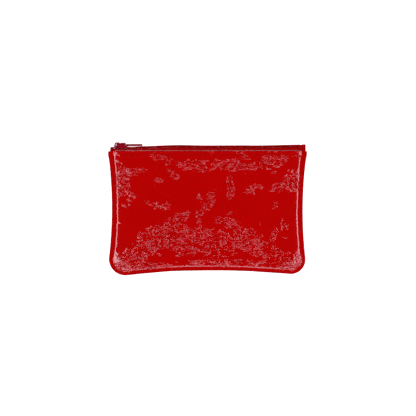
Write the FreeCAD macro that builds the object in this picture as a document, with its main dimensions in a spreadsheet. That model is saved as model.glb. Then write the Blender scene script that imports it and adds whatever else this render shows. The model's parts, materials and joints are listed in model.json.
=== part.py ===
import FreeCAD, Part
import math
import os
import Sketcher

# A flat leather pouch that lies on its back panel, with one coil zip along its top edge.
# X runs along the zip, Y from the bottom seam up to the zip, Z up through the thickness.
# The zip's own frame is turned so that its local Z leaves the pouch through the mouth (global +Y)
# and its local Y points from the front panel to the back panel (global -Z).

DIMENSIONS = {
    # Leather outline, lying flat
    "top_half": 101.7,
    "low_half_left": 100.8,
    "low_half_right": 100.1,
    "mouth_y": 59.15,
    "low_left_y": -68.0,
    "low_right_y": -66.6,
    "corner_left": 17.0,
    "corner_right": 15.0,
    "side_curve": 434.0,
    "bottom_curve": 832.0,
    # Leather through its thickness
    "leather": 1.1,
    "half_depth": 6.45,
    "seam_gap": 0.3,
    "turned_edge": 2.0,
    "border": 4.0,
    "bulge_angle": 58.0,
    "bulge_round": 2.0,
    # Stitches
    "stitch_inset": 4.6,
    "stitch_pitch": 3.3,
    "stitch_long": 2.5,
    "stitch_wide": 0.7,
    "stitch_high": 0.4,
    "groove_wide": 1.0,
    "groove_deep": 0.5,
    "row_half": 85.0,
    "seam_inset": 1.5,
    # Zip: tape and coil, heights above the underside of the slider
    "zip_y": 60.81,
    "zip_tilt": 0.654,
    "slot_half": 0.95,
    "tape": 0.4,
    "tape_level": 1.2,
    "tape_bend": 5.3,
    "tape_leg": 11.0,
    "tape_sewn_half": 85.0,
    "tape_left": -99.5,
    "tape_right": 100.4,
    "coil_outer": 3.1,
    "coil_high": 2.2,
    "coil_round": 0.7,
    "coil_left": -95.0,
    "coil_right": 94.6,
    "cord_hole": 0.45,
    "cord": 0.43,
    "thread_wide": 0.4,
    "thread_high": 0.15,
    # Stops
    "stop_long": 3.4,
    "top_stop_right": -95.6,
    "bottom_stop_left": 94.9,
    "stop_outer": 2.8,
    "stop_inner": 0.35,
    "stop_low": 0.6,
    "stop_high": 3.5,
    # Slider
    "slider_x": -88.45,
    "slider_long": 13.7,
    "slider_front": 4.7,
    "slider_rear": 4.25,
    "plate": 0.9,
    "slider_high": 5.0,
    "flange_low": 1.9,
    "flange_inner": 3.45,
    "neck_half": 0.75,
    "neck_long": 3.2,
    "nose": 2.0,
    # Crown, lock spring and pull, from the slider's centre
    "crown_left": -6.35,
    "crown_right": -0.75,
    "crown_high": 3.1,
    "crown_wide": 2.6,
    "crown_metal": 0.8,
    "spring_metal": 0.25,
    "spring_wide": 1.2,
    "pin_tip": 2.5,
    "pin_x": -2.25,
    "pivot_x": -3.6,
    "pivot_z": 6.1,
    "pivot_bar": 0.65,
    "ring_half": 0.95,
    "ring_wide": 6.0,
    "ring_hole": 3.5,
    "ring_reach": 3.9,
    "hump_start": 4.2,
    "hump_end": 7.4,
    "hump_high": 1.6,
    "bar_start": 10.7,
    "bar_wide": 4.4,
    "bar_top": 0.1,
    "bar_low": -1.4,
    "pull_long": 25.5,
    "lip": 1.4,
    "lip_proud": 0.25,
}

doc = FreeCAD.newDocument("Pouch")
sheet = doc.addObject("Spreadsheet::Sheet", "Sizes")


class Size:
    """A length: its number, and the spreadsheet expression that gives it."""

    def __init__(self, number, text=None):
        self.number = float(number)
        self.text = text if text is not None else repr(self.number)

    def joined(self, sign, other, number):
        return Size(number, "(%s %s %s)" % (self.text, sign, other.text))

    def __add__(self, other):
        other = as_size(other)
        return self.joined("+", other, self.number + other.number)

    def __sub__(self, other):
        other = as_size(other)
        return self.joined("-", other, self.number - other.number)

    def __mul__(self, other):
        other = as_size(other)
        return self.joined("*", other, self.number * other.number)

    def __truediv__(self, other):
        other = as_size(other)
        return self.joined("/", other, self.number / other.number)

    def __neg__(self):
        return Size(-self.number, "(-1 * %s)" % self.text)


def as_size(value):
    return value if isinstance(value, Size) else Size(value)


def fill_sheet():
    """Put every driving dimension in its own named cell."""
    for row, (alias, number) in enumerate(DIMENSIONS.items(), start=1):
        sheet.set("A%d" % row, alias)
        sheet.set("B%d" % row, str(number))
        sheet.setAlias("B%d" % row, alias)
    doc.recompute()


def dim(alias):
    return Size(sheet.get(alias), "Sizes." + alias)


# Helpers for PartDesign bodies

def make_body(label):
    body = doc.addObject("PartDesign::Body", label)
    body.Label = label
    return body


def make_sketch(body, name, role="XY_Plane", height=None):
    sketch = body.newObject("Sketcher::SketchObject", name)
    plane = [feature for feature in body.Origin.OriginFeatures if feature.Role == role][0]
    sketch.AttachmentSupport = [(plane, "")]
    sketch.MapMode = "FlatFace"
    if height is not None:
        sketch.setExpression("AttachmentOffset.Base.z", height.text)
    return sketch


def arc_between(start, end, radius, side):
    """The short arc from start to end; side +1 puts its centre on the left of the way there."""
    chord = end - start
    middle = (start + end) * 0.5
    left = FreeCAD.Vector(-chord.y, chord.x, 0).normalize()
    reach = math.sqrt(radius ** 2 - (chord.Length / 2) ** 2)
    centre = middle + left * (reach * side)
    top = centre + (middle - centre).normalize() * radius
    return Part.Arc(start, top, end)


def draw_outline(sketch, corners):
    """Draw a closed outline and bind it to the sheet.

    Each corner is (x, y) when a straight edge leaves it, or (x, y, radius, side) for an arc.
    """
    points = [(as_size(corner[0]), as_size(corner[1])) for corner in corners]
    vectors = [FreeCAD.Vector(x.number, y.number, 0) for x, y in points]
    ends = []
    for index, corner in enumerate(corners):
        start = vectors[index]
        end = vectors[(index + 1) % len(corners)]
        if len(corner) == 2:
            edge = sketch.addGeometry(Part.LineSegment(start, end), False)
            ends.append((edge, 1, 2))
            continue
        radius = as_size(corner[2])
        side = corner[3]
        edge = sketch.addGeometry(arc_between(start, end, radius.number, side), False)
        ends.append((edge, 1, 2) if side > 0 else (edge, 2, 1))
        bind(sketch, Sketcher.Constraint("Radius", edge, radius.number), radius)
    for index, (edge, first, last) in enumerate(ends):
        following = ends[(index + 1) % len(ends)]
        sketch.addConstraint(Sketcher.Constraint("Coincident", edge, last, following[0], following[1]))
        x, y = points[index]
        bind(sketch, Sketcher.Constraint("DistanceX", -1, 1, edge, first, x.number), x)
        bind(sketch, Sketcher.Constraint("DistanceY", -1, 1, edge, first, y.number), y)


def bind(sketch, constraint, size):
    index = sketch.addConstraint(constraint)
    sketch.setExpression("Constraints[%d]" % index, size.text)


def draw_rectangle(sketch, left, low, right, high):
    draw_outline(sketch, [(left, low), (right, low), (right, high), (left, high)])


def draw_circle(sketch, x, y, radius):
    centre = FreeCAD.Vector(x.number, y.number, 0)
    edge = sketch.addGeometry(Part.Circle(centre, FreeCAD.Vector(0, 0, 1), radius.number), False)
    bind(sketch, Sketcher.Constraint("DistanceX", -1, 1, edge, 3, x.number), x)
    bind(sketch, Sketcher.Constraint("DistanceY", -1, 1, edge, 3, y.number), y)
    bind(sketch, Sketcher.Constraint("Radius", edge, radius.number), radius)


def pad(body, sketch, length, reverse=False, both=False, taper=None):
    feature = body.newObject("PartDesign::Pad", sketch.Name + "_pad")
    feature.Profile = sketch
    feature.setExpression("Length", as_size(length).text)
    feature.Reversed = reverse
    feature.Midplane = both
    if taper is not None:
        feature.setExpression("TaperAngle", (-taper).text)
    return feature


def pocket(body, sketch, length, reverse=False, both=False, taper=None):
    """Cut the sketch out of the body, and stop if nothing was cut."""
    doc.recompute()
    before = body.Shape.Volume
    feature = body.newObject("PartDesign::Pocket", sketch.Name + "_pocket")
    feature.Profile = sketch
    feature.setExpression("Length", as_size(length).text)
    feature.Reversed = reverse
    feature.Midplane = both
    if taper is not None:
        feature.setExpression("TaperAngle", (-taper).text)
    doc.recompute()
    if body.Shape.Volume >= before - 1e-6:
        raise ValueError("%s cut nothing out of %s" % (feature.Name, body.Label))
    return feature


def fillet(body, radius, chosen):
    """Round the edges of the body's tip for which chosen(edge) holds."""
    doc.recompute()
    tip = body.Tip
    names = ["Edge%d" % (i + 1) for i, edge in enumerate(tip.Shape.Edges) if chosen(edge)]
    feature = body.newObject("PartDesign::Fillet", body.Name + "_fillet")
    feature.Base = (tip, names)
    feature.setExpression("Radius", radius.text)
    doc.recompute()
    return feature


def all_at(edge, axis, value):
    """True when the whole edge lies at one coordinate of one axis."""
    box = edge.BoundBox
    low = getattr(box, axis + "Min")
    high = getattr(box, axis + "Max")
    return abs(low - value) < 1e-3 and abs(high - value) < 1e-3


# Leather panels

def leather_outline(inset, beyond=0):
    """The pouch's outline moved in by inset, and carried past the mouth by beyond."""
    left = -(dim("top_half") - inset)
    right = dim("top_half") - inset
    low_left = -(dim("low_half_left") - inset)
    low_right = dim("low_half_right") - inset
    left_centre = -(dim("low_half_left") - dim("corner_left"))
    right_centre = dim("low_half_right") - dim("corner_right")
    top = dim("mouth_y")
    corners = [
        (left_centre, dim("low_left_y") + inset, dim("bottom_curve") + inset, -1),
        (right_centre, dim("low_right_y") + inset, dim("corner_right") - inset, 1),
        (low_right, dim("low_right_y") + dim("corner_right"), dim("side_curve") + inset, -1),
    ]
    if beyond:
        corners += [(right, top), (right, top + beyond), (left, top + beyond)]
    else:
        corners += [(right, top)]
    corners += [
        (left, top, dim("side_curve") + inset, -1),
        (low_left, dim("low_left_y") + dim("corner_left"), dim("corner_left") - inset, 1),
    ]
    return corners


def make_panel(label, side):
    """One leather panel, with its edge turned in round the sides and bottom; side is +1 at the front."""
    body = make_body(label)
    down = side < 0
    base = dim("seam_gap") / 2 * side
    beyond = 30.0
    slope = dim("bulge_angle")
    slope_radians = math.radians(slope.number)
    wall = Size(1 / math.cos(slope_radians), "(1 / cos(Sizes.bulge_angle * 1 deg))")

    edge = make_sketch(body, label + "_edge", height=base)
    draw_outline(edge, leather_outline(Size(0)))
    pad(body, edge, dim("turned_edge"), reverse=down)

    bulge = make_sketch(body, label + "_bulge", height=base)
    draw_outline(bulge, leather_outline(dim("border"), beyond))
    pad(body, bulge, dim("half_depth") - dim("seam_gap") / 2, reverse=down, taper=slope)
    outer_z = dim("half_depth").number * side
    fillet(body, dim("bulge_round"), lambda line: all_at(line, "Z", outer_z))

    hollow = make_sketch(body, label + "_hollow", height=base)
    draw_outline(hollow, leather_outline(dim("border") + dim("leather") * wall, beyond))
    depth = dim("half_depth") - dim("seam_gap") / 2 - dim("leather")
    pocket(body, hollow, depth, reverse=not down, taper=slope)

    mouth = make_sketch(body, label + "_mouth")
    draw_rectangle(mouth, Size(-150), dim("mouth_y"), Size(150), dim("mouth_y") + beyond * 2)
    pocket(body, mouth, dim("half_depth") * 3, both=True)

    groove = make_sketch(body, label + "_groove", height=dim("half_depth") * side)
    row = dim("mouth_y") - dim("stitch_inset")
    half = dim("row_half") + dim("stitch_long") / 2 + dim("stitch_wide") / 2
    draw_rectangle(groove, -half, row - dim("groove_wide") / 2, half, row + dim("groove_wide") / 2)
    pocket(body, groove, dim("groove_deep"), reverse=down)

    if side < 0:
        seam = make_sketch(body, label + "_seam_groove", height=base)
        draw_outline(seam, leather_outline(dim("seam_inset") - dim("groove_wide") / 2, beyond))
        draw_outline(seam, leather_outline(dim("seam_inset") + dim("groove_wide") / 2, beyond + 5))
        pocket(body, seam, dim("groove_deep"))

    body.setExpression("Placement.Base.z", "Sizes.half_depth")
    return body


# Stitches

def stitch_box(centre, direction, up):
    """One stitch: a small bar along direction, whose lower face is centred on centre."""
    length = sheet.get("stitch_long")
    width = sheet.get("stitch_wide")
    height = sheet.get("stitch_high")
    bar = Part.makeBox(length, width, height, FreeCAD.Vector(-length / 2, -width / 2, 0))
    across = up.cross(direction)
    turn = FreeCAD.Rotation(direction, across, up, "ZXY")
    bar.Placement = FreeCAD.Placement(centre, turn)
    return bar


def make_edge_stitches(label, side):
    """The row that holds one tape to its panel: bars outside in the groove, bars inside on the tape."""
    middle = sheet.get("half_depth")
    row = sheet.get("mouth_y") - sheet.get("stitch_inset")
    groove_floor = middle + side * (sheet.get("half_depth") - sheet.get("groove_deep"))
    tape_face = middle + side * (sheet.get("tape_bend") - sheet.get("tape"))
    along = FreeCAD.Vector(1, 0, 0)
    count = int(2 * sheet.get("row_half") / sheet.get("stitch_pitch")) + 1
    first = -sheet.get("stitch_pitch") * (count - 1) / 2
    bars = []
    for number in range(count):
        x = first + number * sheet.get("stitch_pitch")
        outside = FreeCAD.Vector(x, row, groove_floor)
        bars.append(stitch_box(outside, along, FreeCAD.Vector(0, 0, side)))
        inside = FreeCAD.Vector(x, row, tape_face)
        bars.append(stitch_box(inside, along, FreeCAD.Vector(0, 0, -side)))
    return make_feature(label, Part.makeCompound(bars))


def make_seam_stitches(label):
    """The hidden seam round the sides and bottom, in the groove of the back panel's edge."""
    inset = dim("seam_inset")
    vectors = [(FreeCAD.Vector(c[0].number, as_size(c[1]).number, 0), c) for c in leather_outline(inset)]
    order = vectors[-2:] + vectors[:3]
    edges = []
    for (start, corner), (end, following) in zip(order[:-1], order[1:]):
        edges.append(arc_between(start, end, corner[2].number, corner[3]).toShape())
    last_start, last_corner = vectors[2]
    edges.append(arc_between(last_start, vectors[3][0], last_corner[2].number, last_corner[3]).toShape())
    floor = sheet.get("half_depth") - sheet.get("seam_gap") / 2 - sheet.get("groove_deep")
    up = FreeCAD.Vector(0, 0, 1)
    bars = []
    for edge in edges:
        count = int(edge.Length / sheet.get("stitch_pitch"))
        for number in range(count):
            place = edge.getParameterByLength(edge.Length * (number + 0.5) / count)
            centre = edge.valueAt(place) + up * floor
            bars.append(stitch_box(centre, edge.tangentAt(place), up))
    return make_feature(label, Part.makeCompound(bars))


def make_feature(label, shape):
    feature = doc.addObject("Part::Feature", label)
    feature.Label = label
    feature.Shape = shape
    return feature


# Zip

def place_in_zip(body):
    """Turn a body drawn in the zip's frame into the pouch's frame."""
    upright = FreeCAD.Rotation(FreeCAD.Vector(1, 0, 0), -90)
    tilt = FreeCAD.Rotation(FreeCAD.Vector(0, 0, 1), sheet.get("zip_tilt"))
    origin = FreeCAD.Vector(0, sheet.get("zip_y"), sheet.get("half_depth"))
    body.Placement = FreeCAD.Placement(origin, tilt.multiply(upright))


def make_tape(label, side):
    """One woven tape: flat beside the chain, then bent down into the pouch and sewn to its panel."""
    body = make_body(label)
    low = dim("tape_level")
    high = low + dim("tape")
    bend = dim("tape_bend")
    profile = [
        (dim("slot_half") * side, low),
        ((bend - dim("tape")) * side, low),
        ((bend - dim("tape")) * side, low - dim("tape_leg")),
        (bend * side, low - dim("tape_leg")),
        (bend * side, high),
        (dim("slot_half") * side, high),
    ]
    sewn = make_sketch(body, label + "_sewn", role="YZ_Plane", height=-dim("tape_sewn_half"))
    draw_outline(sewn, profile)
    pad(body, sewn, dim("tape_sewn_half") * 2)
    flat = make_sketch(body, label + "_flat", role="YZ_Plane", height=dim("tape_left"))
    draw_rectangle(flat, dim("slot_half") * side, low, bend * side, high)
    pad(body, flat, dim("tape_right") - dim("tape_left"))
    outer = bend.number * side
    top = high.number
    fillet(body, dim("tape") * 2, lambda line: all_at(line, "Y", outer) and all_at(line, "Z", top))
    place_in_zip(body)
    return body


def make_coil(label, side):
    """One side of the chain, with a bore for its filler cord."""
    body = make_body(label)
    low = dim("tape_level") + dim("tape")
    high = low + dim("coil_high")
    section = make_sketch(body, label + "_section", role="YZ_Plane", height=dim("coil_left"))
    draw_rectangle(section, dim("slot_half") * side, low, dim("coil_outer") * side, high)
    draw_circle(section, cord_y(side), low + dim("coil_high") / 2, dim("cord_hole"))
    pad(body, section, dim("coil_right") - dim("coil_left"))
    top = high.number
    fillet(body, dim("coil_round"), lambda line: all_at(line, "Z", top) and line.Length > 20)
    place_in_zip(body)
    return body


def cord_y(side):
    return (dim("slot_half") + dim("coil_outer")) / 2 * side


def make_cord(label, side):
    body = make_body(label)
    level = dim("tape_level") + dim("tape") + dim("coil_high") / 2
    section = make_sketch(body, label + "_section", role="YZ_Plane", height=dim("coil_left"))
    draw_circle(section, cord_y(side), level, dim("cord"))
    pad(body, section, dim("coil_right") - dim("coil_left"))
    place_in_zip(body)
    return body


def make_coil_thread(label, side):
    """The line of thread under the tape that holds the coil down."""
    body = make_body(label)
    middle = cord_y(side)
    half = dim("thread_wide") / 2
    section = make_sketch(body, label + "_section", role="YZ_Plane", height=dim("coil_left"))
    draw_rectangle(section, middle - half, dim("tape_level") - dim("thread_high"),
                   middle + half, dim("tape_level"))
    pad(body, section, dim("coil_right") - dim("coil_left"))
    place_in_zip(body)
    return body


def make_top_stop(label, side):
    """A metal clip pressed round the edge of one tape, above the end of its coil."""
    body = make_body(label)
    start = dim("top_stop_right") - dim("stop_long")
    block = make_sketch(body, label + "_block", role="YZ_Plane", height=start)
    draw_rectangle(block, dim("stop_inner") * side, dim("stop_low"),
                   dim("stop_outer") * side, dim("stop_high"))
    pad(body, block, dim("stop_long"))
    cut_tape_slots(body, label, start, [side])
    place_in_zip(body)
    return body


def make_bottom_stop(label):
    """A metal bridge pressed over both tapes, past the last turn of the coils."""
    body = make_body(label)
    start = dim("bottom_stop_left")
    block = make_sketch(body, label + "_block", role="YZ_Plane", height=start)
    draw_rectangle(block, -dim("stop_outer"), dim("stop_low"), dim("stop_outer"), dim("stop_high"))
    pad(body, block, dim("stop_long"))
    cut_tape_slots(body, label, start, [1, -1])
    place_in_zip(body)
    return body


def cut_tape_slots(body, label, start, sides):
    play = Size(0.02)
    for number, side in enumerate(sides):
        slot = make_sketch(body, "%s_slot%d" % (label, number), role="YZ_Plane", height=start)
        draw_rectangle(slot, (dim("slot_half") - play) * side, dim("tape_level") - play,
                       (dim("stop_outer") + 1) * side, dim("tape_level") + dim("tape") + play)
        pocket(body, slot, dim("stop_long"), reverse=True)


# Slider

def slider_plan():
    """The slider's plan: wide and rounded at the front, a little narrower at the rear."""
    front = dim("slider_x") - dim("slider_long") / 2
    rear = dim("slider_x") + dim("slider_long") / 2
    wide = dim("slider_front")
    narrow = dim("slider_rear")
    nose = dim("nose")
    return [
        (front + nose, -wide),
        (rear - nose / 2, -narrow, nose / 2, 1),
        (rear, -narrow + nose / 2),
        (rear, narrow - nose / 2, nose / 2, 1),
        (rear - nose / 2, narrow),
        (front + nose, wide, nose, 1),
        (front, wide - nose),
        (front, -wide + nose, nose, 1),
    ]


def make_slider_body(label):
    """Two plates joined by the neck, with flanges that hold the coils under the upper plate."""
    body = make_body(label)
    front = dim("slider_x") - dim("slider_long") / 2
    rear = dim("slider_x") + dim("slider_long") / 2
    neck = make_sketch(body, label + "_neck")
    draw_rectangle(neck, front + 0.65, -dim("neck_half"), front + 0.65 + dim("neck_long"), dim("neck_half"))
    pad(body, neck, dim("slider_high"))
    lower = make_sketch(body, label + "_lower")
    draw_outline(lower, slider_plan())
    pad(body, lower, dim("plate"))
    upper = make_sketch(body, label + "_upper", height=dim("flange_low"))
    draw_outline(upper, slider_plan())
    pad(body, upper, dim("slider_high") - dim("flange_low"))
    ceiling = dim("slider_high") - dim("plate")
    for number, side in enumerate([1, -1]):
        lane = make_sketch(body, "%s_lane%d" % (label, number), height=dim("flange_low") - 0.5)
        draw_rectangle(lane, front - 1, dim("neck_half") * side, rear + 1, dim("flange_inner") * side)
        pocket(body, lane, ceiling - dim("flange_low") + 0.5, reverse=True)
    behind = make_sketch(body, label + "_behind_neck", height=dim("flange_low") - 0.5)
    draw_rectangle(behind, front + 0.65 + dim("neck_long"), -dim("neck_half") - 0.1,
                   rear + 1, dim("neck_half") + 0.1)
    pocket(body, behind, ceiling - dim("flange_low") + 0.5, reverse=True)
    ahead = make_sketch(body, label + "_ahead_of_neck", height=dim("flange_low") - 0.5)
    draw_rectangle(ahead, front - 1, -dim("neck_half") - 0.1, front + 0.65, dim("neck_half") + 0.1)
    pocket(body, ahead, ceiling - dim("flange_low") + 0.5, reverse=True)
    hole = make_sketch(body, label + "_pin_hole", height=ceiling - 0.5)
    centre = dim("slider_x") + dim("pin_x")
    draw_rectangle(hole, centre - 0.45, Size(-0.5), centre + 0.45, Size(0.5))
    pocket(body, hole, dim("plate") + 1, reverse=True)
    place_in_zip(body)
    return body


def make_crown(label):
    """The bridge on the upper plate that carries the pull."""
    body = make_body(label)
    left = dim("slider_x") + dim("crown_left")
    right = dim("slider_x") + dim("crown_right")
    low = dim("slider_high")
    high = low + dim("crown_high")
    metal = dim("crown_metal")
    arch = make_sketch(body, label + "_arch", role="XZ_Plane")
    draw_outline(arch, [
        (left, low),
        (left + metal, low),
        (left + metal, high - metal),
        (right - metal, high - metal),
        (right - metal, low),
        (right, low),
        (right, high - metal * 2, metal * 2, 1),
        (right - metal * 2, high),
        (left + metal * 2, high, metal * 2, 1),
        (left, high - metal * 2),
    ])
    pad(body, arch, dim("crown_wide"), both=True)
    place_in_zip(body)
    return body


def make_lock_spring(label):
    """The leaf under the crown, whose end is the pin that drops between the teeth."""
    body = make_body(label)
    left = dim("slider_x") + dim("crown_left") + dim("crown_metal") + 0.1
    metal = dim("spring_metal")
    high = dim("slider_high") + dim("crown_high") - dim("crown_metal") - 0.1
    pin = dim("slider_x") + dim("pin_x")
    leaf = make_sketch(body, label + "_leaf", role="XZ_Plane")
    draw_outline(leaf, [
        (left, dim("slider_high")),
        (left + metal, dim("slider_high")),
        (left + metal, high - metal),
        (pin - metal, high - metal),
        (pin - metal, dim("pin_tip")),
        (pin + metal, dim("pin_tip")),
        (pin + metal, high),
        (left, high),
    ])
    pad(body, leaf, dim("spring_wide") * 0.75, both=True)
    place_in_zip(body)
    return body


def make_pull(label):
    """The pull tab: a ring round the crown, a raised shoulder, and a flat bar with a lip at its end."""
    body = make_body(label)
    x = dim("slider_x") + dim("pivot_x")
    z = dim("pivot_z")
    ring = dim("ring_half")
    tip = x + dim("pull_long")
    lip = dim("lip")
    proud = dim("lip_proud")
    profile = make_sketch(body, label + "_profile", role="XZ_Plane")
    draw_outline(profile, [
        (x, z - ring),
        (x + dim("bar_start"), z - ring),
        (x + dim("bar_start"), z + dim("bar_low")),
        (tip - lip, z + dim("bar_low")),
        (tip - lip, z + dim("bar_low") - proud),
        (tip, z + dim("bar_low") - proud),
        (tip, z + dim("bar_top") + proud),
        (tip - lip, z + dim("bar_top") + proud),
        (tip - lip, z + dim("bar_top")),
        (x + dim("bar_start") - 1, z + dim("bar_top")),
        (x + dim("hump_end"), z + dim("hump_high")),
        (x + dim("hump_start"), z + dim("hump_high")),
        (x + dim("hump_start") - 0.7, z + ring),
        (x, z + ring, ring + 0.001, 1),
    ])
    pad(body, profile, dim("ring_wide"), both=True)
    hole = make_sketch(body, label + "_ring_hole", height=z - 3)
    draw_rectangle(hole, x - 3, -dim("ring_hole") / 2, x + dim("ring_reach"), dim("ring_hole") / 2)
    pocket(body, hole, Size(8), reverse=True)
    for number, side in enumerate([1, -1]):
        waist = make_sketch(body, "%s_waist%d" % (label, number), height=z - 3)
        draw_outline(waist, [
            (x + dim("hump_end"), (dim("ring_wide") / 2 + 1) * side),
            (x + dim("hump_end"), dim("ring_wide") / 2 * side),
            (x + dim("bar_start"), dim("bar_wide") / 2 * side),
            (tip + 1, dim("bar_wide") / 2 * side),
            (tip + 1, (dim("ring_wide") / 2 + 1) * side),
        ])
        pocket(body, waist, Size(8), reverse=True)
    bar = make_sketch(body, label + "_cross_bar", role="XZ_Plane")
    draw_circle(bar, x, z, dim("pivot_bar"))
    pad(body, bar, dim("ring_hole") + 0.4, both=True)
    place_in_zip(body)
    return body


def make_nodes():
    nodes = []
    for name, side in (("front", 1), ("back", -1)):
        local = -side
        nodes.append(make_panel(name + "_panel", side))
        nodes.append(make_edge_stitches(name + "_edge_stitches", side))
        nodes.append(make_tape(name + "_tape", local))
        nodes.append(make_coil(name + "_coil", local))
        nodes.append(make_cord(name + "_coil_cord", local))
        nodes.append(make_coil_thread(name + "_coil_thread", local))
        nodes.append(make_top_stop(name + "_top_stop", local))
    nodes.append(make_seam_stitches("seam_stitches"))
    nodes.append(make_bottom_stop("bottom_stop"))
    nodes.append(make_slider_body("slider_body"))
    nodes.append(make_crown("slider_crown"))
    nodes.append(make_lock_spring("lock_spring"))
    nodes.append(make_pull("pull_tab"))
    return nodes


def check_document():
    for item in doc.Objects:
        if "Invalid" in item.State or "Error" in item.State:
            raise ValueError("%s did not build: %s" % (item.Label, item.State))


def write_nodes(nodes):
    os.makedirs("parts", exist_ok=True)
    for node in nodes:
        shape = node.Shape
        if shape.isNull() or not shape.isValid():
            raise ValueError("%s has no valid shape" % node.Label)
        shape.exportStep("parts/%s.step" % node.Label)
        box = shape.BoundBox
        print("%-20s solids %3d volume %9.1f  x %7.2f %7.2f  y %7.2f %7.2f  z %6.2f %6.2f" % (
            node.Label, len(shape.Solids), shape.Volume,
            box.XMin, box.XMax, box.YMin, box.YMax, box.ZMin, box.ZMax))


fill_sheet()
all_nodes = make_nodes()
doc.recompute()
check_document()
write_nodes(all_nodes)
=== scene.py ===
import json
import math

import bpy
import numpy as np
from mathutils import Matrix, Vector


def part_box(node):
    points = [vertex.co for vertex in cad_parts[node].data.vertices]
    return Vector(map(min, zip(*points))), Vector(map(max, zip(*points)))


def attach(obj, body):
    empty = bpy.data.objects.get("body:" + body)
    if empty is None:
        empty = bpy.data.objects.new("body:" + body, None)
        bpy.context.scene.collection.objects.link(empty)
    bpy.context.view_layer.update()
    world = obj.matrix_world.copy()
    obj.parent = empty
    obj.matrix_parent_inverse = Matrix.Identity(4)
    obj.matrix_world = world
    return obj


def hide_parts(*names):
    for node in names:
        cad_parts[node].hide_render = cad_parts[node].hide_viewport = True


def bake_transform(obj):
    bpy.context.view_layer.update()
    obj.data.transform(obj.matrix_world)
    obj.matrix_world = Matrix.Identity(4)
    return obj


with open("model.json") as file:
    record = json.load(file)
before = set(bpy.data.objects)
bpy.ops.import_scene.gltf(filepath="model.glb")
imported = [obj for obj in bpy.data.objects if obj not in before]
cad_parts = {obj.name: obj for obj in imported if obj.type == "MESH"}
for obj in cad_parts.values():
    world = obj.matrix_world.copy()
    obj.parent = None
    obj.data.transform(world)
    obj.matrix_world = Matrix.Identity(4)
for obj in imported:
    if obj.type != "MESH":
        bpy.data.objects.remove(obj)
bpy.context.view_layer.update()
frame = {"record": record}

MM = 0.001
TAU = 2 * math.pi

# Joints of the frame, in millimetres: the seam plane's height, the opening's hinge and the pull's pivot
JOINTS = {joint["name"]: joint for joint in frame["record"]["behaviour"]["joints"]}
MID = JOINTS["mouth_open"]["pos_m"][2] / MM
PIVOT_X = JOINTS["pull_swing"]["pos_m"][0] / MM
SLIDE = JOINTS["zip_slide"]["axis"]


def cad(node):
    """Lowest and highest corner of a CAD node, in millimetres."""
    low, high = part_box(node)
    return np.array(low) / MM, np.array(high) / MM


PANEL_LOW, PANEL_HIGH = cad("front_panel")

# Leather outline, as in the CAD: half widths, corner radii, bottom corners and the sides' radius
TOP_HALF = PANEL_HIGH[0]
LOW_LEFT = 100.8
LOW_RIGHT = 100.1
CORNER_LEFT = 17.0
CORNER_RIGHT = 15.0
BOTTOM_LEFT_Y = PANEL_LOW[1]
BOTTOM_RIGHT_Y = PANEL_LOW[1] + 1.4
BOTTOM_ARCH = 4.3
SIDE_CURVE = 434.0
MOUTH_Y = PANEL_HIGH[1] + 0.3

# Leather: its thickness, half the gap at the seam, and the pouch's half thickness
LEATHER = 1.1
SEAM_HALF = 0.12
FULL = PANEL_HIGH[2] - MID

# The stitch row at the mouth
STITCH_PITCH = 3.3
STITCH_ROW = PANEL_HIGH[1] - 4.6
STITCH_ROW_LENGTH = 182.0

# Zip frame: the straight line that the slider runs along, and its height at x = 0
TILT = math.atan2(SLIDE[1], SLIDE[0])
ZIP_Y = 60.81

# Coils: pitch, start and length along the zip, height of their middle above its line, half height,
# distance of their middle from the seam plane, half width, and radius of the wire
COIL_PITCH = 1.27
COIL_START = -95.0
COIL_LONG = 189.4
COIL_MID_V = 2.72
COIL_HALF_V = 0.78
COIL_MID_W = 1.28
COIL_HALF_W = 1.5
COIL_WIRE = 0.33
CORD_W = 1.75
CORD_RADIUS = 0.42
TAPE_ENDS = (-99.4, 100.3)
TAPE_HALF = 0.2

# The pull's bar: where it starts, how much deeper it is than in the CAD, and where it has to stop
BAR_START = PIVOT_X + 5.0
BAR_DEEPER = 0.75
BAR_LOWEST_V = 4.25

# Vertices of the two panels, across and up, and how much coarser their inner face is
FRONT_GRID = (355, 241)
BACK_GRID = (241, 163)
INNER_STEP = 3


# Noise

def smooth(low, high, value):
    """From 0 at low to 1 at high, level at both ends."""
    part = np.clip((value - low) / (high - low), 0, 1)
    return part * part * (3 - 2 * part)


def noise(x, y, seed):
    """Gradient noise of unit cell size, about -0.7 to 0.7."""
    table = np.random.RandomState(seed)
    turn = table.rand(4096) * TAU
    xi = np.floor(x).astype(int)
    yi = np.floor(y).astype(int)
    xf = x - xi
    yf = y - yi

    def corner(dx, dy):
        key = ((xi + dx) * 374761393 + (yi + dy) * 668265263) % 2147483647
        key = (key ^ (key >> 13)) % 4096
        angle = turn[key]
        return np.cos(angle) * (xf - dx) + np.sin(angle) * (yf - dy)

    fx = xf * xf * xf * (xf * (xf * 6 - 15) + 10)
    fy = yf * yf * yf * (yf * (yf * 6 - 15) + 10)
    low = corner(0, 0) * (1 - fx) + corner(1, 0) * fx
    high = corner(0, 1) * (1 - fx) + corner(1, 1) * fx
    return low * (1 - fy) + high * fy


def strokes(x, y, degrees, across, along, seed, width=0.3):
    """Wandering crests, across millimetres apart, that run at that angle. From 0 to 1."""
    ca = math.cos(math.radians(degrees))
    sa = math.sin(math.radians(degrees))
    u = (x * ca + y * sa) / along
    v = (-x * sa + y * ca) / across
    u = u + 0.6 * noise(x / 9, y / 9, seed + 1)
    v = v + 0.9 * noise(x / 8, y / 8, seed + 2) + 0.35 * noise(x / 3.2, y / 3.2, seed + 3)
    crest = np.clip(1 - np.abs(noise(u, v, seed)) / width, 0, 1)
    return crest * crest * (3 - 2 * crest)


# Outline of the leather

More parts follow.
